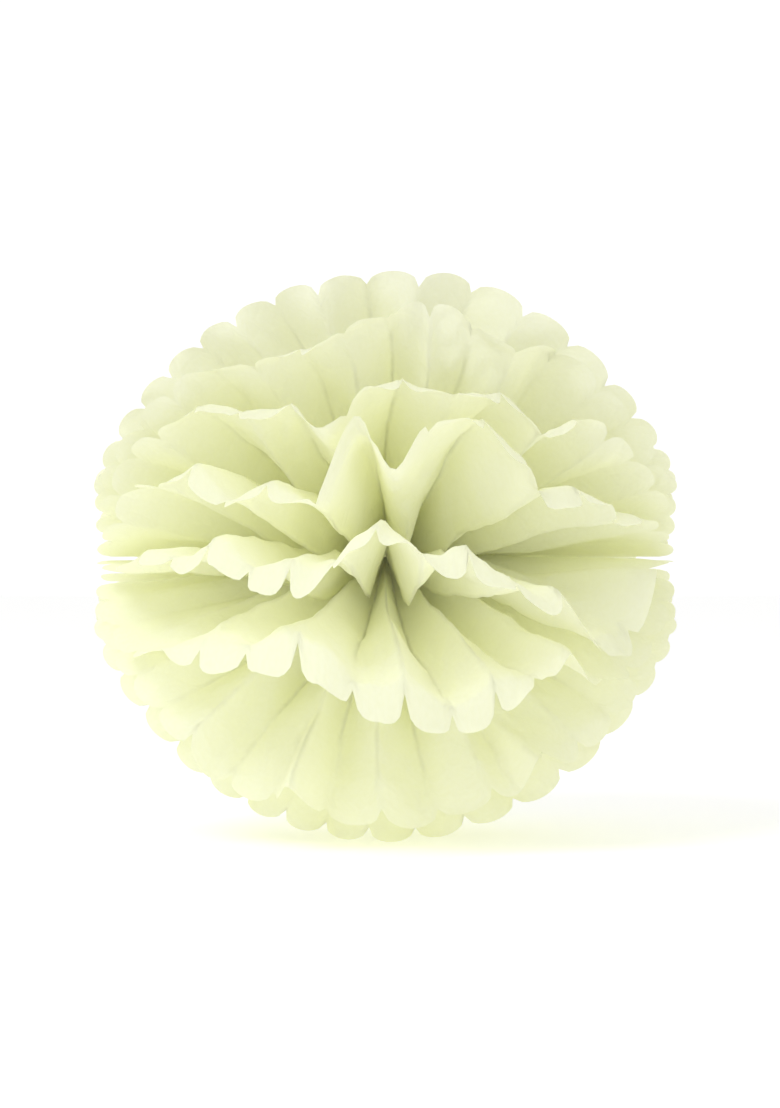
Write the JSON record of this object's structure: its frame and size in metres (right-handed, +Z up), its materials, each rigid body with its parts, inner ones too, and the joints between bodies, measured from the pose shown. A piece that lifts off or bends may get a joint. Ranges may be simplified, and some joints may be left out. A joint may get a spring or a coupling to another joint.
{
  "type": "tissue paper pom pom",
  "caption": "Ball of pleated tissue paper sheets, wired together at the middle and fanned out, with scalloped rims.",
  "frame": {"origin": "centre of the wire tie, at the middle of the ball", "axes": "+X along the line that the sheets fan about, +Z up, -Y towards the front half of each sheet"},
  "size_m": [0.2532, 0.2431, 0.2427],
  "materials": {
    "tissue_paper": "matte, translucent, pale ivory yellow, creased along the pleats",
    "florist_wire": "plain galvanised"
  },
  "bodies": {
    "root": {"tissue_sheet_1": "tissue_paper", "tissue_sheet_2": "tissue_paper", "tissue_sheet_3": "tissue_paper", "tissue_sheet_4": "tissue_paper", "tissue_sheet_5": "tissue_paper", "tissue_sheet_6": "tissue_paper", "tissue_sheet_7": "tissue_paper", "tissue_sheet_8": "tissue_paper", "wire_tie": "florist_wire"}
  },
  "joints": []
}
